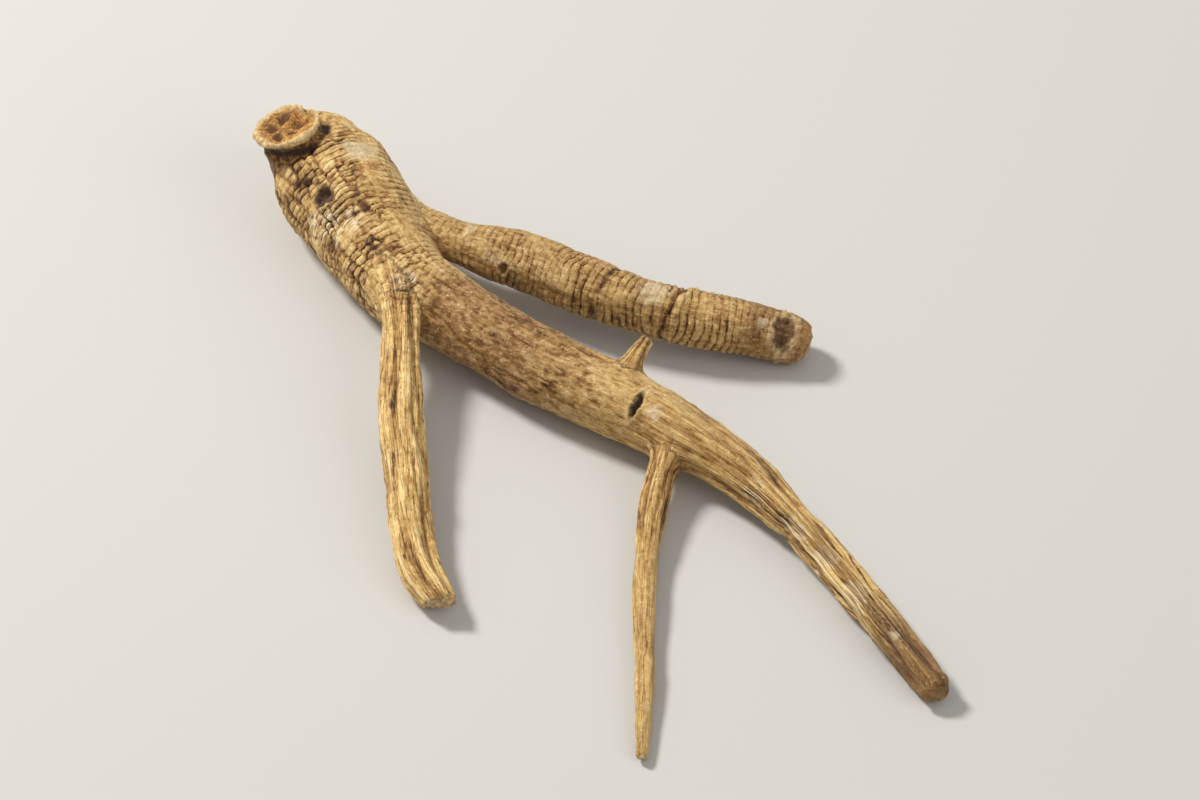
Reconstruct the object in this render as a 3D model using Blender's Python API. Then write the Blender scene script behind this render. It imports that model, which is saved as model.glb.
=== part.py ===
# One dried ginseng root, lying on a surface as it dried.
#
# It grew as one piece: a short neck with the scar that the dead stem left on it,
# a stout ringed body, an arm to one side, two legs, a slender rootlet and the
# stubs of broken rootlets. So it is one solid, made of tapered limbs whose skin
# is drawn in by rings and furrows, joined where they grow out of each other.
#
# The values are in millimetres and the meshes in metres. +Z is up, the surface
# that the root lies on is Z = 0, and the origin is under the middle of its box.

import math
import random

import bmesh
import bpy
import numpy as np
from mathutils import Vector, noise

MM = 0.001
NODE = "ginseng_root"

# Each limb runs through its stations: x, y, z of its middle line and the radius there.
BODY_AND_THICK_LEG = [
    (-35.3, 49.2, 7.3, 6.4),
    (-34.0, 45.8, 7.3, 7.8),
    (-30.9, 39.3, 7.1, 7.8),
    (-26.9, 31.4, 6.6, 6.9),
    (-23.0, 24.6, 6.2, 6.0),
    (-17.6, 19.6, 5.9, 5.2),
    (-4.7, 9.2, 5.6, 4.9),
    (7.9, 0.8, 5.2, 4.6),
    (20.9, -10.1, 4.2, 3.3),
    (29.0, -20.8, 3.3, 2.6),
    (37.0, -34.2, 2.5, 2.5),
    (42.2, -43.4, 2.1, 2.2),
]
NECK = [
    (-36.1, 45.0, 7.0, 5.2),
    (-38.4, 46.3, 11.6, 4.2),
    (-39.4, 46.8, 15.0, 4.5),
]
ARM = [
    (-29.5, 41.0, 7.0, 3.6),
    (-22.2, 36.6, 7.4, 2.8),
    (-16.6, 32.6, 7.3, 3.0),
    (-7.4, 28.4, 6.9, 4.0),
    (0.2, 24.2, 6.4, 4.0),
    (7.8, 21.0, 5.8, 3.8),
    (14.2, 19.6, 5.1, 3.9),
    (20.2, 18.8, 4.2, 3.8),
    (26.6, 17.8, 3.1, 3.4),
]
THIN_LEG = [
    (-28.5, 33.0, 8.0, 3.6),
    (-26.2, 26.5, 8.6, 3.4),
    (-24.7, 21.4, 8.4, 3.1),
    (-23.8, 15.6, 8.0, 2.8),
    (-23.6, 10.0, 6.9, 2.8),
    (-23.3, 0.5, 5.1, 3.2),
    (-22.5, -7.7, 4.0, 3.2),
    (-21.1, -19.2, 3.0, 2.9),
    (-19.6, -25.8, 2.5, 2.7),
    (-17.6, -29.4, 2.2, 2.3),
]
ROOTLET = [
    (11.4, -1.4, 4.6, 2.6),
    (10.0, -7.4, 4.0, 2.1),
    (8.8, -13.0, 2.8, 2.0),
    (7.9, -20.2, 1.9, 1.7),
    (7.4, -30.6, 1.6, 1.5),
    (7.5, -41.0, 1.3, 1.3),
    (7.2, -48.4, 1.0, 1.1),
    (7.0, -54.0, 0.8, 0.8),
]

# Stubs of rootlets that broke off, as stations. The first points up between the
# arm and the thick leg, the others are low on the sides that face away.
STUBS = [
    [(4.5, 4.0, 7.4, 1.6), (6.8, 8.2, 9.2, 1.15), (8.0, 10.2, 9.8, 0.9)],
    [(-29.5, 46.5, 5.0, 1.6), (-26.9, 49.8, 3.4, 1.2), (-25.9, 51.2, 2.8, 0.8)],
    [(-0.6, 26.4, 5.4, 1.6), (1.3, 29.2, 4.0, 1.1), (2.5, 31.2, 3.0, 0.7)],
    [(-6.3, 12.6, 4.6, 1.5), (-4.7, 15.6, 3.4, 1.0), (-3.9, 17.2, 2.8, 0.7)],
]

# Scars of rootlets that withered: middle inside the limb, middle on its skin, half
# the length across the limb, half the width along it, and the way the limb runs.
SCARS = [
    ((26.0, 18.0, 3.5), (26.1, 15.6, 6.6), 1.9, 1.6, (1.0, -0.15, 0.0)),
    ((6.9, 1.6, 5.2), (7.3, -0.6, 9.5), 2.3, 1.1, (0.8, -0.6, 0.0)),
]
SCAR_ROWS = 1.2

# The rings that draw the skin in, one crease for every second row of points.
RING_ROW = 0.8
RING_DEPTH = 0.38
BODY_RINGED_LENGTH = 36.0
RING_FADE = 8.0

# The furrows dried into the limbs. Each follows one column of a limb's points.
FURROW_DEPTH = 0.65
FURROW_WIDTH = 0.62

# Slow swellings and small lumps that keep a limb from looking turned.
SWELL = 0.32
SWELL_LENGTH = 9.0
LUMP = 0.14
LUMP_LENGTH = 2.6

# How limbs end: steps along the limb from its last station and the radius at each
# step, both as shares of the radius there.
DOME = [(0.35, 0.92), (0.65, 0.72), (0.85, 0.42)]
BLUNT = [(0.22, 0.9), (0.42, 0.62), (0.4, 0.3)]
BROKEN = [(0.14, 0.88), (0.1, 0.6), (-0.08, 0.3)]
POINT = [(0.5, 0.66), (0.9, 0.3)]
STEM_SCAR = [(0.1, 0.97), (0.14, 0.82), (0.0, 0.68), (-0.03, 0.45), (0.03, 0.2)]

# The neck's rim is notched on the side that faces away, and the thin leg tore off
# at a slant: how far a point of the end moves on, by where it is round the limb.
NECK_SLANT = (0.0, -0.12, 0.0)
THIN_LEG_SLANT = (0.4, 0.0, -0.2)


def clear_scene():
    for obj in list(bpy.data.objects):
        bpy.data.objects.remove(obj)


def fade(value, low, high):
    """0 below low, 1 above high, smooth between."""
    t = min(1.0, max(0.0, (value - low) / (high - low)))
    return t * t * (3 - 2 * t)


def curve_through(stations):
    """A fine smooth curve through the stations, and the distance along it."""
    knots = np.array(stations, float)
    at = np.concatenate([[0.0], np.cumsum(np.linalg.norm(np.diff(knots[:, :3], axis=0), axis=1))])
    slopes = np.gradient(knots, at, axis=0)
    fine = np.linspace(0.0, at[-1], 40 * len(knots))
    cell = np.clip(np.searchsorted(at, fine, side="right") - 1, 0, len(at) - 2)
    width = (at[cell + 1] - at[cell])[:, None]
    t = (fine - at[cell])[:, None] / width
    curve = (
        (2 * t**3 - 3 * t**2 + 1) * knots[cell]
        + (t**3 - 2 * t**2 + t) * width * slopes[cell]
        + (3 * t**2 - 2 * t**3) * knots[cell + 1]
        + (t**3 - t**2) * width * slopes[cell + 1]
    )
    steps = np.linalg.norm(np.diff(curve[:, :3], axis=0), axis=1)
    return curve, np.concatenate([[0.0], np.cumsum(steps)])


def rows_along(stations, spacing):
    """Distances, middle points and radii of a limb's rows, spacing(distance) mm apart."""
    curve, along = curve_through(stations)
    stops = [0.0]
    while stops[-1] < along[-1]:
        stops.append(stops[-1] + spacing(stops[-1]))
    stops = np.array(stops) * along[-1] / stops[-1]
    run = np.array([np.interp(stops, along, curve[:, i]) for i in range(4)]).T
    return stops, run[:, :3], run[:, 3]


def section_axes(points, reference):
    """The way a limb goes at each row, and two directions across it, the first nearest to reference."""
    ahead = np.gradient(points, axis=0)
    ahead /= np.linalg.norm(ahead, axis=1)[:, None]
    over = reference - (ahead @ reference)[:, None] * ahead
    over /= np.linalg.norm(over, axis=1)[:, None]
    return ahead, over, np.cross(ahead, over)


def furrow_columns(seed, sectors, count):
    """Which columns of a limb are furrows, and how each one's depth comes and goes along it."""
    draw = random.Random(seed)
    start = draw.randrange(sectors)
    return [
        (
            2 * math.pi * ((start + round(i * sectors / count)) % sectors) / sectors,
            draw.uniform(11.0, 26.0),
            draw.uniform(0.0, 2 * math.pi),
            draw.uniform(0.6, 1.0),
        )
        for i in range(count)
    ]


def furrow_cut(furrows, along, angle, radius):
    """How deep the furrows cut there, as a share of the furrow depth."""
    cut = 0.0
    for middle, wave, phase, depth in furrows:
        gap = (angle - middle + math.pi) % (2 * math.pi) - math.pi
        here = depth * (0.6 + 0.4 * math.sin(2 * math.pi * along / wave + phase))
        cut = max(cut, here * math.exp(-((gap * radius / FURROW_WIDTH) ** 2)))
    return cut


def lumps(point):
    swelling = SWELL * noise.noise(Vector(point) / SWELL_LENGTH)
    return swelling + LUMP * noise.noise(Vector(point) / LUMP_LENGTH)


def limb(
    name, stations, sectors, spacing, tip,
    start=None, furrows=(), furrow_share=None, ring_share=None,
    reference=(0.0, 0.0, 1.0), narrow=1.0, slant=(0.0, 0.0, 0.0),
):
    """A closed tapered limb with its rings and furrows.

    tip and start are end profiles. A limb with no start profile begins inside the
    one that it grows from. furrow_share and ring_share give, for a distance along
    the limb, how much of that relief it has there.
    """
    along, points, radii = rows_along(stations, spacing)
    ahead, over, aside = section_axes(points, np.array(reference))
    slant = np.array(slant)
    model = bmesh.new()

    def ring(row, step=0.0, share=1.0):
        loop = []
        for k in range(sectors):
            angle = 2 * math.pi * k / sectors
            way = over[row] * (math.cos(angle) * narrow) + aside[row] * math.sin(angle)
            radius = radii[row] * share
            here = points[row] + way * radius
            cut = 0.0
            if ring_share and row % 2:
                cut = RING_DEPTH * ring_share(along[row])
            if furrow_share:
                furrow = furrow_cut(furrows, along[row], angle, radii[row])
                cut = max(cut, FURROW_DEPTH * furrow_share(along[row]) * furrow)
            here = here + way * (lumps(here) - cut) * share
            if step:
                here = here + ahead[row] * (step + (way @ slant) * share) * radii[row]
            here[2] = max(here[2], 0.0)
            loop.append(model.verts.new(here * MM))
        return loop

    loops = [ring(row) for row in range(len(along))]
    loops += [ring(-1, step, share) for step, share in tip]
    if start:
        loops = [ring(0, -step, share) for step, share in reversed(start)] + loops
    for near, far in zip(loops, loops[1:]):
        for k in range(sectors):
            n = (k + 1) % sectors
            model.faces.new((near[k], near[n], far[n], far[k]))
    model.faces.new(loops[0][::-1])
    model.faces.new(loops[-1])
    bmesh.ops.recalc_face_normals(model, faces=model.faces)
    mesh = bpy.data.meshes.new(name)
    model.to_mesh(mesh)
    model.free()
    return bpy.data.objects.new(name, mesh)


def make_body():
    """The body and the thick leg, one run: rings on the body give way to furrows down the leg."""
    ringed = BODY_RINGED_LENGTH
    return limb(
        "body", BODY_AND_THICK_LEG, 28,
        lambda s: RING_ROW + 1.5 * fade(s, ringed - 2.0, ringed + 8.0),
        BLUNT,
        start=DOME,
        furrows=furrow_columns(3, 28, 9),
        furrow_share=lambda s: 0.35 + 0.65 * fade(s, ringed, 2 * ringed),
        ring_share=lambda s: 1.0 - fade(s, ringed - RING_FADE, ringed),
    )


def make_neck():
    return limb(
        "neck", NECK, 18, lambda s: 1.0, STEM_SCAR,
        furrows=furrow_columns(5, 18, 5),
        furrow_share=lambda s: 0.5,
        reference=(0.0, 1.0, 0.0),
        slant=NECK_SLANT,
    )


def make_arm():
    return limb(
        "arm", ARM, 18, lambda s: 1.0, DOME,
        furrows=furrow_columns(7, 18, 6),
        furrow_share=lambda s: 0.4,
        ring_share=lambda s: 0.85 * fade(s, 8.0, 20.0),
    )


def make_thin_leg():
    return limb(
        "thin_leg", THIN_LEG, 16, lambda s: 2.2, BROKEN,
        furrows=furrow_columns(11, 16, 5),
        furrow_share=lambda s: 0.3 + 0.7 * fade(s, 6.0, 16.0),
        slant=THIN_LEG_SLANT,
    )


def make_rootlet():
    return limb(
        "rootlet", ROOTLET, 9, lambda s: 2.4, POINT,
        furrows=furrow_columns(13, 9, 3),
        furrow_share=lambda s: 0.5,
    )


def make_stub(stations):
    return limb("stub", stations, 8, lambda s: 1.6, BROKEN)


def make_scar(inside, outside, half_length, half_width, limb_way):
    stations = [(*inside, half_length), (*outside, half_length)]
    return limb(
        "scar", stations, 12, lambda s: SCAR_ROWS, STEM_SCAR,
        reference=limb_way, narrow=half_width / half_length,
    )


def grown_together(limbs):
    """One solid of all the limbs, as the root grew."""
    scene = bpy.context.scene.collection
    root, *others = limbs
    scene.objects.link(root)
    growing = bpy.data.collections.new("growing_limbs")
    scene.children.link(growing)
    for other in others:
        growing.objects.link(other)
    union = root.modifiers.new("grown_together", "BOOLEAN")
    union.operation = "UNION"
    union.solver = "EXACT"
    union.operand_type = "COLLECTION"
    union.collection = growing
    joined = bpy.data.meshes.new_from_object(
        root.evaluated_get(bpy.context.evaluated_depsgraph_get())
    )
    root.modifiers.clear()
    root.data = joined
    for other in others:
        bpy.data.objects.remove(other)
    bpy.data.collections.remove(growing)
    root.name = NODE
    joined.name = NODE
    return root


def dried_root_material():
    material = bpy.data.materials.new("dried_root_skin")
    material.use_nodes = True
    skin = material.node_tree.nodes["Principled BSDF"]
    skin.inputs["Base Color"].default_value = (0.42, 0.25, 0.10, 1.0)
    skin.inputs["Roughness"].default_value = 0.85
    skin.inputs["Metallic"].default_value = 0.0
    return material


clear_scene()
limbs = [make_body(), make_neck(), make_arm(), make_thin_leg(), make_rootlet()]
limbs += [make_stub(stations) for stations in STUBS]
limbs += [make_scar(*scar) for scar in SCARS]
root = grown_together(limbs)
root.data.materials.clear()
root.data.materials.append(dried_root_material())
root.data.shade_smooth()
root.data.set_sharp_from_angle(angle=math.radians(60.0))
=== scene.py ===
import math
import random

import bmesh
import bpy
import numpy as np
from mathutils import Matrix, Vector, noise


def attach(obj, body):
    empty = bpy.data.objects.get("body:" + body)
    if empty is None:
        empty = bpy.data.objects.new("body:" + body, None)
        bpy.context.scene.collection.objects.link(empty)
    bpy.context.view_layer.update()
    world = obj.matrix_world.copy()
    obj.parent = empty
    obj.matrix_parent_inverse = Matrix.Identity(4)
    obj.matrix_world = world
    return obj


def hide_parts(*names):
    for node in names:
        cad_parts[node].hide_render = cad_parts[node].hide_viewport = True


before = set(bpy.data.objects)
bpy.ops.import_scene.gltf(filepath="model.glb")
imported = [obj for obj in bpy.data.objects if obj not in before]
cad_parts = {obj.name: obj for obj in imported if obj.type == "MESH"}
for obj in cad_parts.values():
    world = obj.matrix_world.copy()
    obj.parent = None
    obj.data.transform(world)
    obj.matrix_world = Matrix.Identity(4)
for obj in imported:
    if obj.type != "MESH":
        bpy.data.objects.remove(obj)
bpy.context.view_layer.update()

# The root's flesh. It is one grown piece: every limb follows a line of stations
# (x, y, z and radius, in millimetres) and swells into the one it grows from, so
# there is no seam. The lowest parts dried flat against what the root lay on.
MM = 0.001
BODY_AND_THICK_LEG = [
    (-35.3, 49.2, 7.3, 6.4), (-34.0, 45.8, 7.3, 7.8), (-30.9, 39.3, 7.1, 7.8),
    (-26.9, 31.4, 6.6, 6.9), (-23.0, 24.6, 6.2, 6.0), (-17.6, 19.6, 5.9, 5.2),
    (-4.7, 9.2, 5.6, 4.9), (7.9, 0.8, 5.2, 4.6), (20.9, -10.1, 4.2, 3.3),
    (29.0, -20.8, 3.3, 2.6), (37.0, -34.2, 2.5, 2.5), (42.2, -43.4, 2.1, 2.2),
]
NECK = [(-36.1, 45.0, 7.0, 5.2), (-38.4, 46.3, 11.6, 4.2), (-39.4, 46.8, 15.0, 4.5)]
ARM = [
    (-29.5, 40.6, 7.0, 3.5), (-22.1, 35.7, 7.4, 2.6), (-16.8, 32.3, 7.3, 2.9),
    (-7.4, 28.4, 6.9, 4.0), (0.2, 24.2, 6.4, 4.0), (7.8, 21.0, 5.8, 3.8),
    (14.2, 19.6, 5.1, 3.9), (20.2, 18.8, 4.2, 3.8), (26.6, 17.8, 3.1, 3.4),
]
THIN_LEG = [
    (-28.5, 33.0, 8.0, 3.6), (-26.2, 26.5, 8.6, 3.4), (-24.7, 21.4, 8.4, 3.1),
    (-23.8, 15.6, 8.0, 2.8), (-23.6, 10.0, 6.9, 2.8), (-23.3, 0.5, 5.1, 3.2),
    (-22.5, -7.7, 4.0, 3.2), (-21.1, -19.2, 3.0, 2.9), (-19.6, -25.8, 2.5, 2.7),
    (-17.6, -29.4, 2.2, 2.3),
]
ROOTLET = [
    (11.4, -1.4, 4.6, 2.6), (10.0, -7.4, 4.0, 2.1), (8.8, -13.0, 2.8, 2.0),
    (7.9, -20.2, 1.9, 1.7), (7.4, -30.6, 1.6, 1.5), (7.5, -41.0, 1.3, 1.3),
    (7.2, -48.4, 1.0, 1.1), (7.0, -54.0, 0.8, 0.8),
]
STUBS = [
    [(4.5, 4.0, 7.4, 2.1), (6.6, 7.8, 9.1, 1.4), (8.0, 10.2, 9.8, 0.9)],
    [(-29.5, 46.5, 5.0, 1.6), (-26.9, 49.8, 3.4, 1.2), (-25.9, 51.2, 2.8, 0.8)],
    [(-0.6, 26.4, 5.4, 1.6), (1.3, 29.2, 4.0, 1.1), (2.5, 31.2, 3.0, 0.7)],
    [(-6.3, 12.6, 4.6, 1.5), (-4.7, 15.6, 3.4, 1.0), (-3.9, 17.2, 2.8, 0.7)],
]


# A limb's middle line has a point every half millimetre. Its tip's slant comes in over
# the last 6 mm, and a point more than 12 mm from its middle line is out of its reach.
STEP_ALONG = 0.5
SLANTED_END = 6.0
LIMB_REACH = 12.0


class Limb:
    """One limb: its middle line, its radius, and two directions across it, at every step.

    tip and start are (flatness, length): how square that end is, and how far it
    stands beyond the last station, as a share of the radius there. slant tilts
    the tip: how far a point of it moves on for each millimetre out to one side.
    """

    def __init__(
        self, stations, tip, start=(2.1, 0.92), up=(0.0, 0.0, 1.0), slant=(0.0, 0.0, 0.0)
    ):
        knots = np.array(stations, float)
        reach = np.linalg.norm(np.diff(knots[:, :3], axis=0), axis=1)
        at = np.concatenate([[0.0], np.cumsum(reach)])
        slopes = np.gradient(knots, at, axis=0)
        fine = np.linspace(0.0, at[-1], 40 * len(knots))
        cell = np.clip(np.searchsorted(at, fine, side="right") - 1, 0, len(at) - 2)
        width = (at[cell + 1] - at[cell])[:, None]
        t = (fine - at[cell])[:, None] / width
        curve = (
            (2 * t**3 - 3 * t**2 + 1) * knots[cell]
            + (t**3 - 2 * t**2 + t) * width * slopes[cell]
            + (3 * t**2 - 2 * t**3) * knots[cell + 1]
            + (t**3 - t**2) * width * slopes[cell + 1]
        )
        steps = np.linalg.norm(np.diff(curve[:, :3], axis=0), axis=1)
        run = np.concatenate([[0.0], np.cumsum(steps)])
        self.length = run[-1]
        self.along = np.linspace(0.0, self.length, max(4, round(self.length / STEP_ALONG)))
        even = np.array([np.interp(self.along, run, curve[:, i]) for i in range(4)]).T
        self.middle, self.radius = even[:, :3], even[:, 3]
        self.ahead = np.gradient(self.middle, axis=0)
        self.ahead /= np.linalg.norm(self.ahead, axis=1)[:, None]
        up = np.array(up)
        self.over = up - (self.ahead @ up)[:, None] * self.ahead
        self.over /= np.linalg.norm(self.over, axis=1)[:, None]
        self.aside = np.cross(self.ahead, self.over)
        self.tip = tip
        self.start = start
        self.slant = np.array(slant)
        self.reach = np.array([self.middle.min(0) - LIMB_REACH, self.middle.max(0) + LIMB_REACH])

    def place(self, points):
        """Where points are on the limb, how far outside its skin, and the way out of it.

        Their place is how far along it they are, how far round it, and how far out as
        a share of its radius.
        """
        near = np.argmin((self.middle**2).sum(1) - 2.0 * points @ self.middle.T, axis=1)
        from_middle = points - self.middle[near]
        along = self.along[near] + (from_middle * self.ahead[near]).sum(1)
        slanted = np.clip((along - self.length) / SLANTED_END + 1.0, 0.0, 1.0)
        along = along - (from_middle @ self.slant) * slanted
        held = np.clip(along, 0.0, self.length)
        middle, ahead, over, aside = [
            np.stack([np.interp(held, self.along, line[:, i]) for i in range(3)], axis=1)
            for line in (self.middle, self.ahead, self.over, self.aside)
        ]
        out = points - middle
        out -= ahead * (out * ahead).sum(1)[:, None]
        away = np.maximum(np.linalg.norm(out, axis=1), 1e-6)
        out /= away[:, None]
        radius = np.interp(held, self.along, self.radius)
        ending = along > 0.5 * self.length
        flatness = np.where(ending, self.tip[0], self.start[0])
        length = np.where(ending, self.tip[1], self.start[1])
        beyond = np.abs(along - held) / (length * radius)
        side = away / radius
        size = np.maximum((side**flatness + beyond**flatness) ** (1 / flatness), 1e-6)
        slope = ((side / size) ** (flatness - 1))[:, None] * out
        endward = (beyond / size) ** (flatness - 1) / length * np.sign(along - held)
        slope += endward[:, None] * ahead
        steep = np.maximum(np.linalg.norm(slope, axis=1), 1e-6)
        turn = np.arctan2((out * aside).sum(1), (out * over).sum(1))
        return along, turn, side, (size - 1) * radius / steep, slope / steep[:, None]


limbs = [
    Limb(BODY_AND_THICK_LEG, (2.3, 0.92)),
    Limb(NECK, (5.0, 0.14), up=(0.0, 1.0, 0.0), slant=(0.0, 0.12, 0.0)),
    Limb(ARM, (2.2, 0.9)),
    Limb(THIN_LEG, (3.4, 0.3), slant=(0.45, 0.0, 0.35)),
    Limb(ROOTLET, (1.8, 0.95)),
] + [Limb(stations, (3.0, 0.3)) for stations in STUBS]
BODY_LIMB, NECK_LIMB, ARM_LIMB, THIN_LEG_LIMB = range(4)

# How widely one limb swells into the next, and the depth that stands for out of reach.
JOIN = 0.5
OUT_OF_REACH = 60.0


def flesh(points):
    """How far points are outside the joined limbs, the way out, each limb's share, and accord.

    The accord is 1 where the limbs agree on the way out, and less in a crotch.
    """
    depth = np.full((len(limbs), len(points)), OUT_OF_REACH)
    way = np.zeros((len(limbs), len(points), 3))
    for n, limb in enumerate(limbs):
        close = ((points > limb.reach[0]) & (points < limb.reach[1])).all(1)
        if close.any():
            *_, depth[n, close], way[n, close] = limb.place(points[close])
    nearest = depth.min(0)
    share = np.exp(-(depth - nearest) / JOIN)
    total = share.sum(0)
    out = (share[:, :, None] * way).sum(0) / total[:, None]
    accord = np.maximum(np.linalg.norm(out, axis=1), 1e-6)
    return nearest - JOIN * np.log(total), out / accord[:, None], share / total, accord


def rough_limb(limb, sides=20):
    """A plain closed tube round a limb, to be melted into the others.

    Each loop of it is a row of the limb, how many radii it stands beyond that row,
    and its width as a share of the radius.
    """
    tube = bmesh.new()
    rows = list(range(0, len(limb.along), 3))
    if rows[-1] != len(limb.along) - 1:
        rows.append(len(limb.along) - 1)
    length = limb.tip[1]
    stack = [(rows[0], -0.8, 0.45), (rows[0], -0.5, 0.8)]
    stack += [(row, 0.0, 1.0) for row in rows]
    stack += [(rows[-1], length * 0.6, 0.85), (rows[-1], length * 0.9, 0.5)]
    loops = []
    for row, step, share in stack:
        centre = limb.middle[row] + limb.ahead[row] * step * limb.radius[row]
        loop = []
        for k in range(sides):
            angle = 2 * math.pi * k / sides
            way = limb.over[row] * math.cos(angle) + limb.aside[row] * math.sin(angle)
            loop.append(tube.verts.new((centre + way * limb.radius[row] * share) * MM))
        loops.append(loop)
    for near, far in zip(loops, loops[1:]):
        for k in range(sides):
            tube.faces.new((near[k], near[(k + 1) % sides], far[(k + 1) % sides], far[k]))
    tube.faces.new(loops[0][::-1])
    tube.faces.new(loops[-1])
    bmesh.ops.recalc_face_normals(tube, faces=tube.faces)
    return tube


# The tubes melt into one skin with points 0.32 mm apart, which then settle on the flesh.
GRAIN_OF_MESH = 0.32
SETTLING_ROUNDS = 5
melt = bmesh.new()
for limb in limbs:
    tube = rough_limb(limb)
    held = bpy.data.meshes.new("limb")
    tube.to_mesh(held)
    melt.from_mesh(held)
    tube.free()
    bpy.data.meshes.remove(held)
root_mesh = bpy.data.meshes.new("root_skin")
melt.to_mesh(root_mesh)
melt.free()
root = bpy.data.objects.new("root_skin", root_mesh)
bpy.context.scene.collection.objects.link(root)
melting = root.modifiers.new("melt", "REMESH")
melting.mode = "VOXEL"
melting.voxel_size = GRAIN_OF_MESH * MM
melted = bpy.data.meshes.new_from_object(
    root.evaluated_get(bpy.context.evaluated_depsgraph_get())
)
root.modifiers.clear()
root.data = melted
bpy.data.meshes.remove(root_mesh)
melted.name = "root_skin"

points = np.empty(len(melted.vertices) * 3)
melted.vertices.foreach_get("co", points)
points = points.reshape(-1, 3) / MM
for settle in range(SETTLING_ROUNDS):
    outside, out, *_ = flesh(points)
    points -= outside[:, None] * out
_, out, share, accord = flesh(points)


# The skin. As the root dried it drew in: rings closed round the body and the arm,
# furrows opened along the legs, and the skin between them wrinkled and cracked.
# Where cracks cross the rings, as on the body's left, it broke into short bars.

# Each kind of mark has its depth in millimetres, and how much it darkens the skin,
# partly as dirt and partly as painted shade.
RING_DEPTH, RING_DIRT_AND_SHADE = 0.5, 0.8
FURROW_DEPTH, FURROW_DIRT_AND_SHADE, FURROW_WIDTH = 0.65, 0.65, 0.62
RIDGE_DEPTH, RIDGE_DIRT_AND_SHADE = 0.46, 0.55
STRAND_DEPTH, STRAND_DIRT_AND_SHADE = 0.14, 0.18
WRINKLE_DEPTH, WRINKLE_DIRT_AND_SHADE, DASH_DIRT_AND_SHADE = 0.18, 0.45, 0.6
CRACK_DEPTH, CRACK_DIRT_AND_SHADE = 0.24, 0.7
PIT_DEPTH, PIT_DIRT_AND_SHADE = 0.25, 0.35
BAR_STEP = 0.2
NUB_HEIGHT = 0.11
SWELL = 0.32
LUMP = 0.14
ROUGHNESS = 0.07


def wander(spots, start=0.0):
    """Smooth noise, about -1 to 1, that changes over one unit. Each start gives another."""
    return np.array([noise.noise(p) for p in (spots + start).tolist()])


def fade(value, low, high):
    """0 below low, 1 above high, smooth between."""
    t = np.clip((value - low) / (high - low), 0.0, 1.0)
    return t * t * (3 - 2 * t)


def valley(spots, start, width):
    """1 along the thin winding lines where the noise crosses zero, 0 away from them."""
    return 1.0 - fade(np.abs(wander(spots, start)), 0.0, width)


def dashes(spots, start, width):
    """The same lines, broken into dashes."""
    return valley(spots, start, width) * fade(wander(spots * 0.6, start + 17.0), -0.1, 0.25)


def furrow_columns(seed, sectors, count):
    """Furrows round a limb: where each lies, its wave's length and phase, its depth, its end."""
    draw = random.Random(seed)
    start = draw.randrange(sectors)
    return [
        (
            2 * math.pi * ((start + round(i * sectors / count)) % sectors) / sectors,
            draw.uniform(11.0, 26.0),
            draw.uniform(0.0, 2 * math.pi),
            draw.uniform(0.6, 1.0),
            58.0 if i % 2 else 1000.0,
        )
        for i in range(count)
    ]


def furrow_cut(furrows, along, turn, radius, waver):
    """How deep the furrows cut there, as a share of the furrow depth."""
    cut = np.zeros(len(along))
    for middle, wave, phase, depth, end in furrows:
        gap = (turn + waver - middle + math.pi) % (2 * math.pi) - math.pi
        here = depth * (0.7 + 0.3 * np.sin(2 * math.pi * along / wave + phase))
        here = here * (1.0 - fade(along, end, end + 15.0))
        cut = np.maximum(cut, here * np.exp(-((gap * radius / FURROW_WIDTH) ** 2)))
    return cut


# The skin s millimetres along a limb, turn radians round it: how strong its rings are,
# the cracks that break them into bars, its furrows, ridges, strands, net of wrinkles,
# lengthwise dashes and nubs, how dark the dirt and painted shade in all these are,
# and how pale the skin.
def body_and_thick_leg_skin(s, turn):
    left = fade(np.cos(turn - 1.15), -0.1, 0.8)
    ringed = 1.0 - fade(s, 30.0, 38.0)
    brown = fade(s, 30.0, 36.0) - fade(s, 46.0, 69.0)
    fibrous = fade(s, 56.0, 76.0)
    low = fade(s, 78.0, 92.0) - fade(s, 114.0, 123.0)
    return dict(
        rings=(0.4 + 0.55 * left) * ringed + 0.03, bricks=0.15 + 0.85 * left,
        cuts=0.2 + 0.3 * fibrous + 0.6 * low, ridges=0.1 + 0.3 * fibrous + 0.8 * low,
        strands=0.15 + 0.35 * fade(s, 34.0, 50.0) + 0.5 * fibrous,
        net=0.2 * ringed + 0.3 * brown, dashed=0.15 + 0.5 * fade(s, 36.0, 48.0) - 0.4 * fibrous,
        nubs=0.45 + 0.55 * brown - 0.3 * fibrous,
        dirt_and_shade_weight=1.0 - 0.44 * low - 0.1 * left * ringed,
        pale=0.71 - 0.7 * brown + 0.05 * fibrous + 0.14 * low - 0.75 * fade(s, 106.0, 118.0),
    )


def neck_skin(s, turn):
    return dict(
        rings=0.45, bricks=0.5, cuts=0.5, ridges=0.2, strands=0.3,
        net=0.4, dashed=0.0, nubs=0.5, dirt_and_shade_weight=1.0, pale=0.5,
    )


def arm_skin(s, turn):
    banded = fade(s, 29.0, 37.0) - fade(s, 54.0, 57.0)
    brown = fade(s, 8.0, 16.0) - 0.8 * fade(s, 42.0, 48.0)
    return dict(
        rings=0.35 + 0.12 * fade(s, 10.0, 20.0) + 0.43 * banded, bricks=0.2 - 0.12 * banded,
        cuts=0.3, ridges=0.15, strands=0.3,
        net=0.3 - 0.2 * banded, dashed=0.15, nubs=0.45 - 0.1 * banded, dirt_and_shade_weight=0.75,
        # The arm's last few millimetres are painted darker, a painted shade at its tip.
        pale=0.62 - 0.2 * brown - 0.6 * fade(s, 53.0, 57.0),
    )


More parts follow.
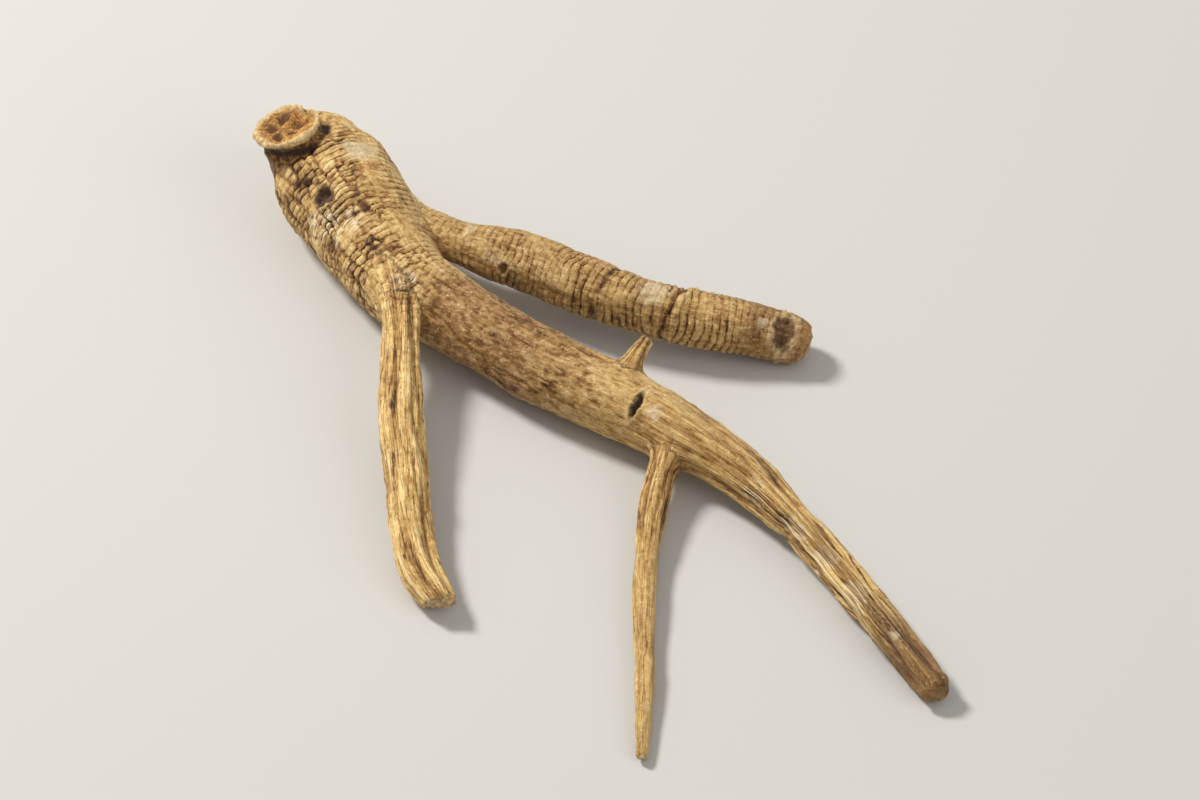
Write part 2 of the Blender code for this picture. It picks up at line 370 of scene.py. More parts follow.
def thin_leg_skin(s, turn):
    fibrous = fade(s, 8.0, 18.0)
    return dict(
        rings=0.95 - 0.92 * fade(s, 13.0, 24.0), bricks=0.45,
        cuts=0.3 + 0.8 * fibrous, ridges=0.2 + 0.5 * fibrous, strands=0.35 + 0.65 * fibrous,
        net=0.1, dashed=0.15, nubs=0.3, dirt_and_shade_weight=0.5,
        pale=0.8 + 0.18 * fibrous + 0.12 * fade(s, 36.0, 50.0),
    )


def rootlet_skin(s, turn):
    top = 1.0 - fade(s, 14.0, 24.0)
    return dict(
        rings=0.05, bricks=0.3, cuts=0.6 + 0.5 * top, ridges=0.35 + 0.4 * top, strands=0.9,
        net=0.1, dashed=0.1 + 0.4 * top, nubs=0.2, dirt_and_shade_weight=0.65 + 0.25 * top, pale=0.68 + 0.15 * top,
    )


def stub_skin(s, turn):
    return dict(
        rings=0.2, bricks=0.3, cuts=0.0, ridges=0.8, strands=0.7,
        net=0.2, dashed=0.3, nubs=0.5, dirt_and_shade_weight=0.8, pale=0.5 + 0.4 * fade(s, 2.0, 6.0),
    )


# The thin leg's furrows, as furrow_columns gives them: one left of its middle, all the
# way down, and weaker ones to each side.
THIN_LEG_FURROWS = [
    (0.3, 31.0, 1.2, 1.0, 1000.0), (-0.68, 19.0, 2.4, 0.75, 1000.0), (1.35, 23.0, 0.4, 0.7, 1000.0),
    (2.5, 21.0, 3.0, 0.9, 1000.0), (-2.6, 26.0, 1.0, 0.8, 1000.0), (-1.6, 17.0, 4.0, 0.7, 1000.0),
]

# Each limb's ring pitch and usual radius in millimetres, its furrows and its skin. The
# thin leg, the rootlet and the stubs were broken off at their tips.
SKINS = [
    (1.04, 4.8, furrow_columns(3, 28, 9), body_and_thick_leg_skin),
    (1.2, 4.4, furrow_columns(5, 18, 5), neck_skin),
    (1.0, 3.7, furrow_columns(7, 18, 6), arm_skin),
    (1.5, 3.0, THIN_LEG_FURROWS, thin_leg_skin),
    (1.6, 1.5, furrow_columns(13, 9, 3), rootlet_skin),
] + [(1.2, 1.1, [], stub_skin) for stub in STUBS]
BROKEN_OFF = range(THIN_LEG_LIMB, len(SKINS))

count = len(points)
rise, dirt_and_shade, pale, torn, fibrous, stout, nubbly, ridged = np.zeros((8, count))
ring_turn, ring_hold, bar_tone = np.zeros((3, count))
grain = np.zeros((count, 3))
warp = 0.9 * wander(points / 7.0, 3.1) + 0.25 * wander(points / 2.3, 9.4)
patchy = wander(points / 4.4, 21.7)
chief = share.argmax(0)
TOO_LITTLE = 0.004
for n, (limb, (pitch, girth, furrows, skin)) in enumerate(zip(limbs, SKINS)):
    mine = share[n] > TOO_LITTLE
    weight = share[n, mine]
    along, turn, side, *_ = limb.place(points[mine])
    look = skin(along, turn)

    # Two spaces for the marks: fibre runs straight along the limb, and so narrows and
    # widens with it, and true keeps its marks' width where the limb's radius changes.
    inward = np.minimum(side, 1.0)
    fibre = np.stack([along, girth * inward * np.cos(turn), girth * inward * np.sin(turn)], axis=1)
    radius = np.interp(along, limb.along, limb.radius)
    true = np.stack([along, radius * inward * np.cos(turn), radius * inward * np.sin(turn)], axis=1)

    # Rings: a sharp crease at each whole ring, rounded between, broken and patchy. Where
    # the skin is in bars they're ragged, and step by half a ring across each crack.
    crack = wander(fibre * (0.17, 0.98, 0.98), 61.0 + n)
    in_bars = fade(look["bricks"], 0.05, 0.5)
    ragged = (0.08 + 0.14 * in_bars) * wander(fibre * (0.5, 0.9, 0.9), 19.0)
    ring_at = (along + warp[mine] + ragged) / pitch + 0.5 * in_bars * fade(crack, -0.12, 0.12)
    ring_strength = look["rings"] * np.clip(0.8 + 1.0 * patchy[mine], 0.2, 1.25)
    broken = fade(wander(fibre * (0.9, 0.45, 0.45), 40.0 + n), -0.4, 0.1)
    ring_crease = (1.0 - np.abs(np.sin(math.pi * ring_at))) ** 1.7
    ring_crease = ring_crease * ring_strength * (0.3 + 0.7 * broken)
    crack_line = (1.0 - fade(np.abs(crack), 0.0, 0.19)) * look["bricks"]
    crack_line = crack_line * np.minimum(ring_strength, 1.0)
    pit = ring_crease.clip(0, 1) * crack_line
    which_side = np.where(crack > 0, 4.7, 0.0) + 0.25 * fibre[:, 1]
    bar = np.stack([np.floor(ring_at) * 0.83, which_side, 0.25 * fibre[:, 2]], axis=1)
    proud = wander(bar, 7.0) * ring_strength * (0.4 + 0.6 * look["bricks"])

    # Furrows along the limb, with ridges, wrinkles, strands and nubs between them.
    waver = (0.1 + 0.14 * look["strands"]) * wander(fibre * (0.12, 0.2, 0.2), 5.5)
    cut = look["cuts"] * furrow_cut(furrows, along, turn, radius, waver)
    between_ridges = np.abs(wander(true * (0.045, 0.6, 0.6), 31.0 + n))
    ridge = (1.0 - fade(between_ridges, 0.0, 0.4)) * look["ridges"]
    ridge_line = (1.0 - fade(between_ridges, 0.0, 0.2)) * np.minimum(look["ridges"], 1.0)
    strand = valley(true * (0.12, 1.1, 1.1), 47.0 + n, 0.35) * look["strands"]
    streak = wander(true * (0.05, 1.0, 1.0), 67.0 + n) * look["strands"]
    wrinkle = dashes(fibre * (0.9, 1.5, 1.5), 83.0 + n, 0.3) * look["net"]
    dash = dashes(true * (0.26, 1.4, 1.4), 58.0 + n, 0.3) * look["dashed"]
    nub = wander(fibre * (0.62, 1.15, 1.15), 53.0 + n)
    nub += 0.6 * wander(fibre * (1.3, 2.2, 2.2), 54.0 + n)
    nub *= look["nubs"]

    # How deep all these cut, less on slender limbs, and how much light they leave, their
    # darkening partly dirt and partly painted shade.
    drop = np.maximum(RING_DEPTH * ring_crease, FURROW_DEPTH * cut)
    drop = drop + RIDGE_DEPTH * ridge + STRAND_DEPTH * strand + WRINKLE_DEPTH * (wrinkle + dash)
    drop = drop + CRACK_DEPTH * crack_line + PIT_DEPTH * pit
    drop -= BAR_STEP * proud + NUB_HEIGHT * nub
    drop *= np.clip(radius / 2.4, 0.5, 1.0)
    light = (1.0 - RING_DIRT_AND_SHADE * ring_crease.clip(0, 1)) * (1.0 - FURROW_DIRT_AND_SHADE * cut.clip(0, 1) ** 2)
    light = light * (1.0 - PIT_DIRT_AND_SHADE * pit)
    light_on_lines = (1.0 - RIDGE_DIRT_AND_SHADE * ridge_line) * (1.0 - STRAND_DIRT_AND_SHADE * strand**2)
    light *= light_on_lines * (1.0 - CRACK_DIRT_AND_SHADE * crack_line)
    light *= (1.0 - WRINKLE_DIRT_AND_SHADE * wrinkle) * (1.0 - DASH_DIRT_AND_SHADE * dash)
    # Raised bars, nubs and ridge tops are painted paler: tone, and a painted highlight on them.
    tone_and_highlight = proud + 0.35 * streak + 0.45 * nub
    tone_and_highlight = tone_and_highlight + 0.35 * look["ridges"] * fade(between_ridges, 0.25, 0.6)
    rise[mine] -= weight * drop
    # The crease mark takes this darkening: dirt and painted shade in the creases.
    dirt_and_shade[mine] += weight * look["dirt_and_shade_weight"] * (1.0 - light)
    pale[mine] += weight * look["pale"]
    fibrous[mine] += weight * look["strands"]
    stout[mine] += weight * np.clip(radius / 4.0, 0.3, 1.0)
    bar_tone[mine] += weight * tone_and_highlight
    nubbly[mine] += weight * look["nubs"]
    ridged[mine] += weight * look["ridges"]
    front = chief[mine] == n
    spots = np.flatnonzero(mine)[front]
    grain[spots] = fibre[front]
    ring_turn[spots] = ring_at[front]
    ring_hold[spots] = ring_strength[front]
    if n in BROKEN_OFF:
        torn[spots] = fade(along[front] - limb.length, -0.1, 0.1 + 0.2 * limb.radius[-1])

# Painted shade in the crotches, where two limbs' skins face each other.
dirt_and_shade = np.maximum(dirt_and_shade, 0.3 * (1.0 - fade(accord, 0.6, 0.88)))

# Two deep creases cross the arm. At the outer one the skin was pushed up to a pale
# edge: how far along the arm, how much they slant, and how high that edge stands.
ARM_CREASES = [(37.3, 0.7, 0.0), (46.6, 1.3, 0.3)]
arm_along, arm_turn, *_ = limbs[ARM_LIMB].place(points)
on_arm = fade(share[ARM_LIMB], 0.4, 0.8)
for where, slant, height in ARM_CREASES:
    past = arm_along - where + slant * np.sin(arm_turn) + 0.5 * wander(points / 1.8, 12.0)
    partly = on_arm * fade(wander(points / 3.0, where), -0.35, 0.25)
    folded = partly * np.exp(-((past / 0.42) ** 2))
    pushed_up = partly * height * np.exp(-(((past - 0.9) / 0.45) ** 2))
    rise += pushed_up - 0.25 * folded
    bar_tone += 1.2 * pushed_up
    # Each fold is painted dark, partly dirt and partly painted shade in the crease.
    dirt_and_shade = np.maximum(dirt_and_shade * (1.0 - 1.5 * pushed_up).clip(0, 1), 0.6 * folded)

# Where a limb broke off, its end is jagged with torn fibres, and the thick leg's is lumpy.
body_along, *_ = limbs[BODY_LIMB].place(points)
shreds = valley(points / 0.9, 71.0, 0.35)
blunt = fade(body_along - limbs[BODY_LIMB].length, -1.5, 0.5) * fade(share[BODY_LIMB], 0.4, 0.8)
rise = rise * (1.0 - 0.6 * blunt) + blunt * (0.4 * wander(points / 1.4, 25.0) - 0.1)
rise -= 0.3 * torn * shreds
dirt_and_shade = np.maximum(dirt_and_shade * (1.0 - 0.6 * torn), 0.6 * torn * shreds)


# The scars. The dead stem left a round one on the neck, a thin crinkled rim with a
# notch, round an orange-brown hollow with dark pits in it. Rootlets left slits and
# ovals across the arm and legs.
stem_along, stem_turn, stem_side, *_ = limbs[NECK_LIMB].place(points)
above = stem_along - limbs[NECK_LIMB].length
on_neck = fade(share[NECK_LIMB], 0.3, 0.7)
on_stem = fade(above, -0.5, -0.1) * on_neck
notch = np.exp(-(((stem_turn + 0.6) / 0.32) ** 2))
crinkle = wander(points / 1.9, 55.0) + 0.25 * wander(points / 0.9, 56.0)
rightward, upward = -stem_side * np.sin(stem_turn), stem_side * np.cos(stem_turn)
lobed = stem_side * (1.0 + 0.2 * notch) + 0.06 * wander(points / 1.3, 14.0)
stem_hollow = on_stem * (1.0 - fade(lobed, 0.78, 0.94))
inner_rim = on_stem * np.exp(-(((lobed - 0.68) / 0.07) ** 2)) * fade(-rightward, 0.1, 0.45)
stem_rim = np.maximum(on_stem * fade(lobed, 0.8, 0.94), 0.8 * inner_rim)
clots = valley(points / 1.4, 27.0, 0.3)
collar = np.exp(-(((above + 1.5) / 0.7) ** 2)) * (1.0 - fade(stem_side, 1.15, 1.4))
flare = on_neck * fade(above, -0.9, -0.35)
rim_line = 0.25 + 0.15 * np.cos(2 * stem_turn) + 0.15 * np.cos(3 * stem_turn + 0.6)
rise += flare * (rim_line - 0.7 * notch + 0.26 * crinkle)
rise += on_stem * fade(lobed, 0.8, 0.94) * 0.15 * crinkle + 0.35 * inner_rim - 0.45 * collar
rise -= stem_hollow * (0.7 + 0.15 * clots + 0.3 * wander(points / 1.6, 33.0))

# The pits in the hollow: how far right of its middle and above it, and how wide, all
# as shares of its radius.
STEM_PITS = [
    (0.34, 0.08, 0.3), (-0.54, 0.05, 0.24), (-0.15, 0.42, 0.24),
    (-0.3, -0.44, 0.2), (0.12, -0.34, 0.18),
]
stem_pit = np.zeros(count)
for to_right, to_top, size in STEM_PITS:
    gap = np.hypot(rightward - to_right, upward - to_top) / size + 0.3 * wander(points / 0.7, 8.0)
    stem_pit = np.maximum(stem_pit, on_stem * (1.0 - fade(gap, 0.6, 1.1)))
rise -= 0.8 * stem_pit
# Painted shadow under the stem scar's rim, and painted shade on the neck below it.
painted_shadow_under_rim = np.maximum(0.95 * collar, 0.5 * on_neck) * (1.0 - on_stem)
dirt_and_shade = np.maximum(dirt_and_shade * (1.0 - 0.85 * on_stem), painted_shadow_under_rim)
# The hollow's clots are dark in their own colour, and its pits are painted near black, a painted
# shade.
clotted = fade(clots + 0.5 * wander(points / 1.1, 44.0), 0.3, 1.0)
stem_clots_and_pit_shade = np.maximum(stem_pit, 0.45 * stem_hollow * clotted)

# Middle of the scar, half its length across the limb and half its width along it,
# the way the limb runs, how deep it is and how high its lip stands.
SCARS = [
    ((25.8, 15.9, 6.0), 2.4, 1.5, (1.0, -0.15, -0.1), 0.35, 0.3),
    ((6.6, -0.9, 8.9), 2.2, 0.62, (0.8, -0.6, -0.05), 1.0, 0.15),
    ((-34.4, 34.9, 12.7), 1.6, 1.4, (0.45, -0.9, 0.0), 1.0, 0.05),
    ((-10.6, 25.9, 8.2), 0.9, 0.7, (0.85, -0.5, 0.0), 0.45, 0.2),
    ((-24.5, -0.2, 7.9), 0.3, 1.7, (0.1, -0.99, -0.1), 0.5, 0.06),
]

# And small healed slits of withered rootlets, so many on each limb, anywhere but its ends.
chance = random.Random(29)
OFF_THE_ENDS = 12
for n, withered in ((BODY_LIMB, 6), (ARM_LIMB, 5), (THIN_LEG_LIMB, 3)):
    limb = limbs[n]
    for scar in range(withered):
        row = chance.randrange(OFF_THE_ENDS, len(limb.along) - OFF_THE_ENDS)
        angle = chance.uniform(0.0, 2 * math.pi)
        way = limb.over[row] * math.cos(angle) + limb.aside[row] * math.sin(angle)
        spot = limb.middle[row] + way * limb.radius[row]
        half_across, half_along = chance.uniform(0.4, 0.65), chance.uniform(0.16, 0.22)
        SCARS.append((spot, half_across, half_along, limb.ahead[row], 0.2, 0.05))

hollow, lip = np.zeros((2, count))
for middle, half_across, half_along, way, depth, height in SCARS:
    away = points - np.array(middle)
    close = (away**2).sum(1) < (2.2 * max(half_across, half_along)) ** 2
    away, facing, way = away[close], out[close], np.array(way)
    way = way - (facing @ way)[:, None] * facing
    way /= np.linalg.norm(way, axis=1)[:, None]
    lengthwise = (away * way).sum(1) / half_along
    across = (away * np.cross(facing, way)).sum(1) / half_across
    reach = np.hypot(lengthwise, across) + 0.35 * wander(points[close] / 0.8, 3.0)
    inside = 1.0 - fade(reach, 0.55, 0.95)
    edge = np.exp(-(((reach - 1.15) / 0.24) ** 2))
    rise[close] = rise[close] * (1.0 - 0.7 * inside) + height * edge - depth * inside
    # A scar's middle is painted darker the deeper it is: its own dark brown and painted shade in
    # the hollow.
    scar_dark_and_shade = (1.0 - fade(reach, 0.8, 1.1)) * min(1.0, 0.35 + 0.65 * depth)
    hollow[close] = np.maximum(hollow[close], scar_dark_and_shade)
    lip[close] = np.maximum(lip[close], edge * (1.0 - inside) * min(1.0, height / 0.2))
dirt_and_shade *= 1.0 - 0.7 * lip

# Pale patches where the outer skin rubbed off, bars and ridges scuffed to a chalky
# edge and painted with a highlight, and small rust-brown spots: the middle of each and
# its size, in millimetres.
RUBBED = [
    ((-29.7, 42.0, 14.2), 2.4), ((37.9, -37.2, 4.4), 0.8), ((-15.1, 31.3, 10.2), 0.9),
    ((8.9, -2.4, 8.6), 1.3), ((23.0, 16.8, 6.8), 0.8), ((-11.8, 26.8, 8.6), 0.6),
    ((8.8, 20.2, 9.4), 2.2),
]
SCUFFS_AND_HIGHLIGHTS = [
    ((-31.0, 30.6, 12.0), 2.3), ((-33.3, 30.9, 10.1), 2.9), ((-35.7, 33.0, 9.2), 1.8),
    ((-12.0, 27.0, 9.0), 1.3), ((-23.6, 20.0, 11.0), 1.8),
    ((21.2, -13.7, 5.7), 2.0), ((25.4, -19.6, 4.8), 2.6),
    ((29.4, -24.2, 4.6), 2.4), ((33.0, -30.6, 4.4), 2.4),
]
RUSTY = [
    ((-28.9, 38.3, 14.2), 0.9), ((23.5, -16.0, 6.0), 0.8),
    ((28.4, 16.8, 5.0), 1.5), ((-11.4, 26.4, 7.6), 1.4),
]


def spotted(spots, ragged):
    """1 inside any of the spots, 0 outside, with a ragged edge."""
    inside = np.zeros(count)
    for middle, size in spots:
        away = np.linalg.norm(points - np.array(middle), axis=1) / size + ragged
        inside = np.maximum(inside, 1.0 - fade(away, 0.5, 1.15))
    return inside


ragged = 0.5 * wander(points, 90.0) + 0.3 * wander(points / 0.5, 91.0)
bloom = spotted(RUBBED, ragged)
scuffs_and_highlights = spotted(SCUFFS_AND_HIGHLIGHTS, ragged)
rust = np.maximum(spotted(RUSTY, ragged), 0.6 * fade(wander(points / 1.5, 101.0), 0.6, 0.75))
rise *= (1.0 - 0.3 * bloom) * (1.0 + 0.4 * scuffs_and_highlights)
dirt_and_shade *= 1.0 - 0.6 * bloom

swelling = stout * (SWELL * wander(points / 9.0) + LUMP * wander(points / 2.6))
rough = ROUGHNESS * wander(points / 0.8, 77.0)
points = points + out * (rise + swelling + rough)[:, None]

# The stem scar's rim is thin, so points that stand out from it are drawn back to their
# neighbours, and then it is crinkled and notched again. Nothing is below the floor.
DRAWING_ROUNDS = 12
pairs = np.empty(2 * len(melted.edges), int)
melted.edges.foreach_get("vertices", pairs)
pairs = pairs.reshape(-1, 2)
rim_pairs = pairs[(np.maximum(on_stem, flare)[pairs] > 0.02).all(1)]
for settle in range(DRAWING_ROUNDS):
    drawn, met = np.zeros((count, 3)), np.zeros(count)
    for near, far in (rim_pairs.T, rim_pairs.T[::-1]):
        np.add.at(drawn, near, points[far])
        np.add.at(met, near, 1.0)
    held = met > 2
    back = drawn[held] / met[held, None] - points[held]
    pull = 0.1 + 0.5 * fade(np.linalg.norm(back, axis=1), 0.05, 0.12)
    points[held] += pull[:, None] * back
rim = np.maximum(on_stem * fade(lobed, 0.8, 0.94), flare)
points += out * (rim * (0.32 * wander(points / 1.3, 57.0) - 0.45 * notch))[:, None]
points[:, 2] = np.maximum(points[:, 2], 0.0)

melted.vertices.foreach_set("co", (points * MM).ravel())
melted.update()
marks = {
    "dirt_and_shade": dirt_and_shade, "ring_turn": ring_turn, "ring_hold": ring_hold, "bar_tone": bar_tone,
    "fibrous": fibrous, "pale": pale, "torn": torn, "hollow": hollow,
    "lip": np.maximum(lip, stem_rim), "stem_hollow": stem_hollow, "stem_clots_and_pit_shade": stem_clots_and_pit_shade,
    "bloom": bloom, "rust": rust, "scuffs_and_highlights": scuffs_and_highlights, "nubbly": nubbly, "ridged": ridged,
}
for name, values in marks.items():
    layer = melted.attributes.new(name, "FLOAT", "POINT")
    layer.data.foreach_set("value", values.astype(np.float32))
layer = melted.attributes.new("grain", "FLOAT_VECTOR", "POINT")
layer.data.foreach_set("vector", grain.astype(np.float32).ravel())
melted.shade_smooth()
print("root skin:", sum(len(face.vertices) - 2 for face in melted.polygons), "triangles")


# The colour. Dried root is straw to tan on its ridges and dark brown where dirt and
# shrunken skin fill the creases, darkened further by painted shade there, with fine fibres
# along it and fine lines across it.
skin_finish = bpy.data.materials.new("dried_root_skin")
skin_finish.use_nodes = True
melted.materials.clear()
melted.materials.append(skin_finish)
tree = skin_finish.node_tree
surface = tree.nodes["Principled BSDF"]


def lay(kind, inputs, out=0, **settings):
    """One node, its settings and inputs (values or other nodes' outputs), and its output."""
    node = tree.nodes.new(kind)
    for name, value in settings.items():
        setattr(node, name, value)
    for socket, value in inputs.items():
        if isinstance(value, bpy.types.NodeSocket):
            tree.links.new(value, node.inputs[socket])
        else:
            node.inputs[socket].default_value = value
    return node.outputs[out]


def mark(name, out="Fac"):
    """One of the marks left on the skin's points."""
    return lay("ShaderNodeAttribute", {}, out, attribute_name=name)


def times(one, other):
    return lay("ShaderNodeMath", {0: one, 1: other}, operation="MULTIPLY")


def add_up(total, *terms):
    """The total and each term's value times its weight."""
    for value, weight in terms:
        total = lay("ShaderNodeMath", {0: value, 1: weight, 2: total}, operation="MULTIPLY_ADD")
    return total


def centred(value):
    """A value from 0 to 1, moved to lie round 0."""
    return add_up(-0.5, (value, 1.0))


def stretched(where, scale, detail=3.0, roughness=0.55):
    """Noise, 0 to 1, with so many grains to a unit each way."""
    spot = lay("ShaderNodeVectorMath", {0: where, 1: scale}, operation="MULTIPLY")
    kind = {"Vector": spot, "Scale": 1.0, "Detail": detail, "Roughness": roughness}
    return lay("ShaderNodeTexNoise", kind)


def between(value, low, high):
    """0 at low, 1 at high, smooth between."""
    ends = {"Value": value, "From Min": low, "From Max": high}
    return lay("ShaderNodeMapRange", ends, interpolation_type="SMOOTHSTEP")


def saw(value):
    """0 at every whole number, rising to a half midway to the next."""
    return lay("ShaderNodeMath", {0: value, 1: 0.5}, operation="PINGPONG")


def thin_lines(values, width):
    """1 along the winding lines where the noise is a half."""
    off = lay("ShaderNodeMath", {0: values, 1: 0.5}, operation="SUBTRACT")
    return between(lay("ShaderNodeMath", {0: off}, operation="ABSOLUTE"), width, 0.0)


def blended(share, one, other):
    """One value where share is 0, the other where it is 1."""
    return lay("ShaderNodeMix", {"Factor": share, 2: one, 3: other})


def mixed(share, one, other, blend="MIX"):
    """One colour where share is 0, the other where it is 1."""
    sides = {"Factor": share, 6: one, 7: other}
    return lay("ShaderNodeMix", sides, 2, data_type="RGBA", blend_type=blend)


def covered(colour, share, *cover, by=None):
    """The colour, covered where share is 1 by one colour, or by two as by goes from 0 to 1."""
    shades = [(*shade, 1.0) for shade in cover]
    return mixed(share, colour, shades[0] if by is None else mixed(by, *shades))


# The noises: fibres and lines that follow the limbs' grain, in grains to the millimetre,
# and mottling and specks that lie in plain space, in grains to the metre.
in_grain = mark("grain", "Vector")
in_space = lay("ShaderNodeTexCoord", {}, "Object")
rings_held = mark("ring_hold")
strands_held = mark("fibrous")
dirt_and_shade_mark = mark("dirt_and_shade")
short_fibres = stretched(in_grain, (0.45, 3.2, 3.2), 4.0)
long_fibres = stretched(in_grain, (0.13, 2.3, 2.3), 4.0)
fibres = blended(strands_held, short_fibres, long_fibres)
fine_fibres = stretched(in_grain, (1.1, 9.0, 9.0), 2.0)
cross_lines = stretched(in_grain, (3.6, 0.7, 0.7), 3.0)
mottle = stretched(in_space, (330.0, 330.0, 330.0), 3.0)
pitted = between(stretched(in_grain, (1.1, 1.7, 1.7), 2.0), 0.36, 0.6)
speck = stretched(in_space, (2300.0, 2300.0, 2300.0), 2.0, 0.7)

# Fine dark lines, partly dirt and partly painted shade: cracks along the limbs, along
# their ridges and across them, and one in each ring's crease and halfway to the next.
long_cracks = thin_lines(stretched(in_grain, (0.12, 1.7, 1.7), 2.0), 0.04)
ridge_cracks = thin_lines(stretched(in_grain, (0.07, 1.15, 1.15), 2.0), 0.05)
cross_cracks = thin_lines(stretched(in_grain, (1.9, 0.45, 0.45), 2.0), 0.045)
ring_place = mark("ring_turn")
ring_line = between(saw(ring_place), 0.14, 0.0)
half_ring_line = between(saw(times(ring_place, 2.0)), 0.2, 0.0)
half_ring_line = times(half_ring_line, between(mottle, 0.42, 0.62))
lines = add_up(
    0.0, (times(rings_held, ring_line), 0.5), (times(rings_held, half_ring_line), 0.28),
    (times(long_cracks, strands_held), 0.4), (times(cross_cracks, rings_held), 0.5),
    (times(ridge_cracks, mark("ridged")), 0.75),
)

# How light the skin is, 0 in the dirt and painted shade of the creases and 1 on the
# palest ridges. The noises that are added lie round a half, so half of their weights
# comes off first.
PLAIN_TONE = 0.63
FIBRE_TONE, FINE_FIBRE_TONE, SPECK_TONE = 0.3, 0.2, 0.26
grainy = centred(between(stretched(in_grain, (0.85, 1.7, 1.7), 3.0), 0.36, 0.64))
patched = add_up(-0.11, (centred(mottle), 0.2), (pitted, 0.18))
tone = add_up(
    PLAIN_TONE - (FIBRE_TONE + FINE_FIBRE_TONE + SPECK_TONE) / 2,
    (dirt_and_shade_mark, -0.8), (fibres, FIBRE_TONE), (fine_fibres, FINE_FIBRE_TONE), (speck, SPECK_TONE),
    (lines, -0.42), (mark("bar_tone"), 0.36),
    (times(patched, add_up(1.0, (strands_held, -0.7))), 1.0),
    (times(mark("nubbly"), grainy), 0.34), (times(rings_held, centred(cross_lines)), 0.35),
)
SKIN_SHADES = [
    (0.0, (0.045, 0.018, 0.006)), (0.2, (0.18, 0.080, 0.022)), (0.4, (0.405, 0.230, 0.074)),
    (0.60, (0.635, 0.430, 0.175)), (0.80, (0.82, 0.635, 0.325)), (1.0, (0.94, 0.83, 0.58)),
]
ramp = tree.nodes.new("ShaderNodeValToRGB")
while len(ramp.color_ramp.elements) < len(SKIN_SHADES):
    ramp.color_ramp.elements.new(0.5)
for step, (at, shade) in zip(ramp.color_ramp.elements, SKIN_SHADES):
    step.position = at
    step.color = (*shade, 1.0)
tree.links.new(tone, ramp.inputs["Fac"])
BROWN_SKIN, PALE_SKIN = (0.50, 0.40, 0.31, 1.0), (1.14, 1.15, 1.08, 1.0)
browned = mixed(mark("pale"), BROWN_SKIN, PALE_SKIN)
colour = mixed(1.0, ramp.outputs["Color"], browned, "MULTIPLY")

# What covers the plain skin here and there, most from a darker to a paler shade.
PAINTED_GLINT_SHADE = (0.86, 0.76, 0.56)
CHALK_AND_HIGHLIGHT_SHADE = (0.90, 0.81, 0.60)
RUBBED_SHADES = (0.56, 0.45, 0.29), (0.74, 0.64, 0.46)
RUST_SHADES = (0.34, 0.15, 0.045), (0.58, 0.29, 0.09)
TORN_SHADES = (0.46, 0.29, 0.13), (0.84, 0.68, 0.43)
LIP_SHADES = (0.52, 0.35, 0.15), (0.84, 0.66, 0.36)
HOLLOW_SHADES = (0.02, 0.009, 0.006), (0.075, 0.034, 0.022)
STEM_SHADES = (0.27, 0.105, 0.019), (0.66, 0.36, 0.09)
CLOT_AND_PIT_SHADOW_COLOUR = (0.06, 0.014, 0.006)
uneven = between(speck, 0.35, 0.65)
# Pale flecks on the ridges, away from the creases, are a painted glint.
painted_glint = times(between(speck, 0.6, 0.72), between(dirt_and_shade_mark, 0.3, 0.1))
# The chalky edges are partly scuffed skin and partly a painted highlight on bars and ridges.
chalk_and_highlight_lines = between(blended(strands_held, cross_lines, long_fibres), 0.47, 0.6)
chalk_and_highlight = times(times(mark("scuffs_and_highlights"), chalk_and_highlight_lines), between(dirt_and_shade_mark, 0.55, 0.2))
colour = covered(colour, times(painted_glint, 0.5), PAINTED_GLINT_SHADE)
colour = covered(colour, times(mark("bloom"), 0.6), *RUBBED_SHADES, by=uneven)
colour = covered(colour, times(chalk_and_highlight, 0.75), CHALK_AND_HIGHLIGHT_SHADE)
colour = covered(colour, times(mark("rust"), 0.6), *RUST_SHADES, by=uneven)
colour = covered(colour, times(mark("torn"), 0.6), *TORN_SHADES, by=fibres)
colour = covered(colour, times(mark("lip"), 0.6), *LIP_SHADES, by=uneven)
# The scars' dark middles, partly painted shade in their hollows.
colour = covered(colour, times(mark("hollow"), 0.9), *HOLLOW_SHADES, by=uneven)
colour = covered(colour, mark("stem_hollow"), *STEM_SHADES, by=uneven)
# The stem's dark clots, and painted shade in its pits.
colour = covered(colour, times(mark("stem_clots_and_pit_shade"), 0.88), CLOT_AND_PIT_SHADOW_COLOUR)
tree.links.new(colour, surface.inputs["Base Color"])

# The relief that is finer than the mesh, and the skin's dull sheen.
FINE_RELIEF = 0.14
relief = add_up(
    0.0, (fibres, 0.55), (fine_fibres, 0.25), (speck, 0.3), (lines, -0.8),
    (times(rings_held, cross_lines), 0.4), (times(mark("nubbly"), grainy), 0.5),
)
bump = lay("ShaderNodeBump", {"Height": relief, "Strength": 1.0, "Distance": FINE_RELIEF * MM})
tree.links.new(bump, surface.inputs["Normal"])
tree.links.new(add_up(0.76, (fibres, -0.16)), surface.inputs["Roughness"])
surface.inputs["Specular IOR Level"].default_value = 0.3
surface.inputs["Sheen Weight"].default_value = 0.2
surface.inputs["Sheen Roughness"].default_value = 0.4
surface.inputs["Sheen Tint"].default_value = (1.0, 0.86, 0.62, 1.0)

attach(root, "root")
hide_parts("ginseng_root")

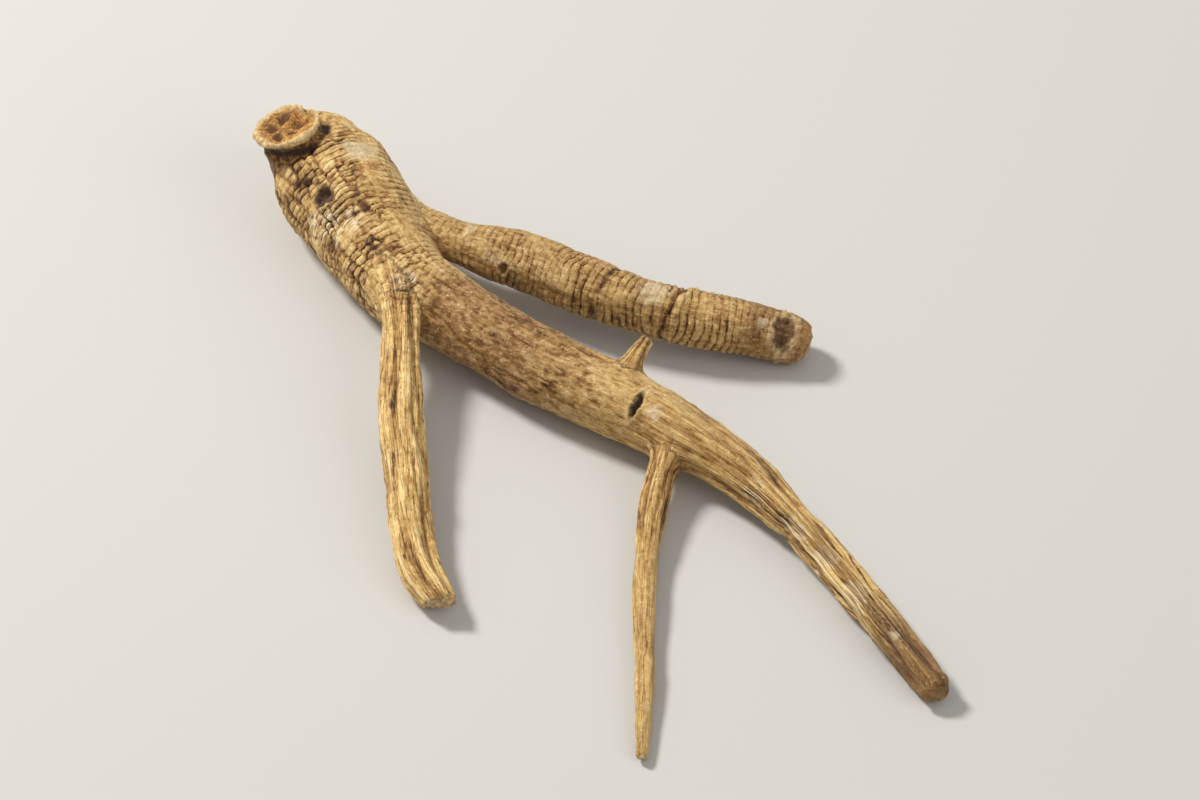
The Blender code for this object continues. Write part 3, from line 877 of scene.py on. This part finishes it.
# The surface that the root lies on: a plain pale tabletop, just under the root's own
# flat spots, with nothing else on it.
tabletop = bmesh.new()
bmesh.ops.create_grid(tabletop, x_segments=1, y_segments=1, size=1.5)
floor_mesh = bpy.data.meshes.new("floor")
tabletop.to_mesh(floor_mesh)
tabletop.free()
floor = bpy.data.objects.new("floor", floor_mesh)
floor.location.z = -0.0001
bpy.context.scene.collection.objects.link(floor)
floor_finish = bpy.data.materials.new("pale_floor")
floor_finish.use_nodes = True
floor_surface = floor_finish.node_tree.nodes["Principled BSDF"]
floor_surface.inputs["Base Color"].default_value = (0.58, 0.57, 0.55, 1.0)
floor_surface.inputs["Roughness"].default_value = 0.9
floor_mesh.materials.append(floor_finish)

# The light of a plain studio: a soft glow all round, a key light from the upper left
# and behind, and a weaker, broader fill light from the right and in front.
air = bpy.data.worlds.new("studio_air")
air.use_nodes = True
glow = air.node_tree.nodes["Background"]
glow.inputs["Color"].default_value = (1.0, 0.98, 0.95, 1.0)
glow.inputs["Strength"].default_value = 0.45
bpy.context.scene.world = air


def soft_box(name, place, aim, size, power, colour):
    """A round soft light, size metres across, that shines from its place at aim."""
    lamp = bpy.data.lights.new(name, "AREA")
    lamp.shape = "DISK"
    lamp.size = size
    lamp.energy = power
    lamp.color = colour
    box = bpy.data.objects.new(name, lamp)
    box.location = place
    box.rotation_euler = (Vector(aim) - Vector(place)).to_track_quat("-Z", "Y").to_euler()
    bpy.context.scene.collection.objects.link(box)


soft_box("key_light", (-0.55, 0.35, 0.7), (0.0, 0.0, 0.0), 0.22, 9.0, (1.0, 0.97, 0.92))
soft_box("fill_light", (0.7, -0.5, 0.5), (0.0, 0.0, 0.0), 0.8, 2.5, (1.0, 0.98, 0.95))

# The camera looks down on the root from in front, as the photograph does. Its lens is
# long, so that the root fills the frame from arm's length.
ELEVATION = math.radians(43.0)
CAMERA_AWAY = 0.613
target = Vector((0.002, 0.004, 0.005))
lens = bpy.data.cameras.new("camera")
lens.lens = 144.1
lens.sensor_width = 36.0
lens.clip_start = 0.01
lens.clip_end = 20.0
camera = bpy.data.objects.new("camera", lens)
look_from = Vector((0.0, -math.cos(ELEVATION), math.sin(ELEVATION)))
camera.location = target + CAMERA_AWAY * look_from
camera.rotation_euler = (math.pi / 2 - ELEVATION, 0.0, 0.0)
bpy.context.scene.collection.objects.link(camera)
bpy.context.scene.camera = camera
bpy.context.scene.view_settings.view_transform = "Standard"
